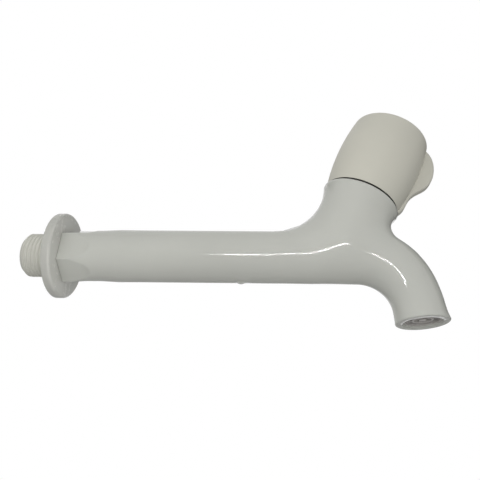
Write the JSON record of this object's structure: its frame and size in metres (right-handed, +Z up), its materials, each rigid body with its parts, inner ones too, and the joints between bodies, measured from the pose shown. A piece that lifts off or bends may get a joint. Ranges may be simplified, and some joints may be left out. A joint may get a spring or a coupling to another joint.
{
  "type": "wall tap",
  "caption": "Long plastic wall tap: threaded inlet, round wall flange, wrench hexagon, straight tube, bent spout and a slanted barrel knob with a finger fin that turns a quarter turn.",
  "frame": {"origin": "centre of the wall flange's back face, on the inlet's axis and in the plane of the wall", "axes": "+X out of the wall along the tube, +Z up, towards the knob's side, +Y to the left of someone who looks out from the wall; the knob leans towards +X and the outlet faces down"},
  "size_m": [0.2004, 0.0418, 0.1079],
  "materials": {
    "body_plastic": "glossy moulded off-white",
    "flange_plastic": "satin moulded off-white",
    "knob_plastic": "satin moulded off-white",
    "insert_plastic": "moulded white",
    "inner_plastic": "moulded grey",
    "slip_plastic": "slippery white",
    "seal_rubber": "moulded black",
    "disc_ceramic": "lapped",
    "cartridge_brass": "turned",
    "nut_brass": "turned",
    "clip_steel": "spring steel",
    "screw_steel": "stainless",
    "screen_steel": "stainless sheet"
  },
  "bodies": {
    "tap": {"tap_body": "body_plastic", "wall_flange": "flange_plastic", "cartridge_housing": "cartridge_brass", "retaining_nut": "nut_brass", "housing_o_ring": "seal_rubber", "base_seal": "seal_rubber", "fixed_disc": "disc_ceramic", "thrust_washer": "slip_plastic", "flow_straightener": "insert_plastic", "outlet_screen": "screen_steel", "outlet_washer": "seal_rubber"},
    "handle": {"moving_disc": "disc_ceramic", "disc_carrier": "inner_plastic", "spindle": "cartridge_brass", "spindle_o_ring_lower": "seal_rubber", "spindle_o_ring_upper": "seal_rubber", "spindle_circlip": "clip_steel", "knob": "knob_plastic", "screw_washer": "clip_steel", "handle_screw": "screw_steel", "cover_cap": "knob_plastic"}
  },
  "joints": [
    {"name": "handle_turn", "type": "hinge", "parent": "tap", "child": "handle", "pos_m": [0.1325, 0, 0], "axis": [0.4274, 0, 0.9041], "range_deg": [0, 90]}
  ]
}
